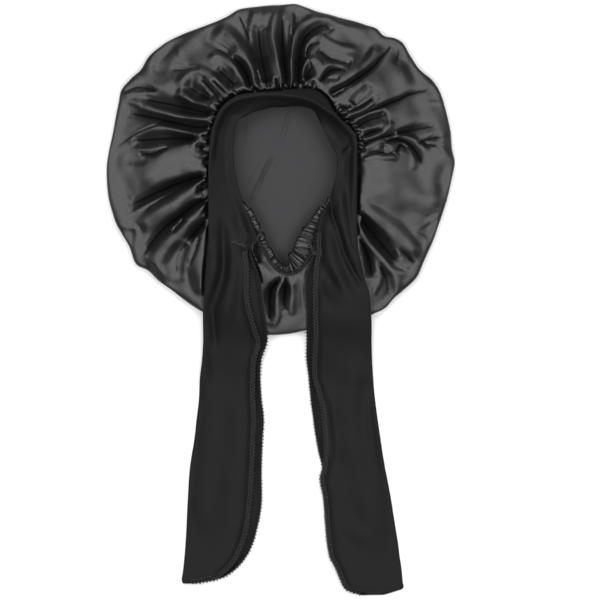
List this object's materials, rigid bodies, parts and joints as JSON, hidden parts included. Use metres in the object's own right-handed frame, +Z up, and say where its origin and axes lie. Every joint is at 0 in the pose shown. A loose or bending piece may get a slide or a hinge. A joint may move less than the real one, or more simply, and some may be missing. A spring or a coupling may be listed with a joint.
{
  "type": "hair bonnet",
  "caption": "Satin hair bonnet with a wide gathered crown, lying flat with its opening up, and a folded knit band that runs on into long free ties.",
  "frame": {"origin": "On the surface that the bonnet lies on, under the middle of the crown.", "axes": "+Z up from the surface, out of the opening; +Y from the ties' free ends towards the top of the crown; +X to the right, seen from above with the ties towards the viewer."},
  "size_m": [0.3059, 0.5205, 0.038],
  "materials": {
    "satin": "smooth black satin with a soft sheen, duller on its wrong side",
    "knit": "matte black stretch knit with overlocked edges"
  },
  "bodies": {
    "root": {"crown": "satin", "nape_casing": "satin", "tie_band": "knit"}
  },
  "joints": []
}
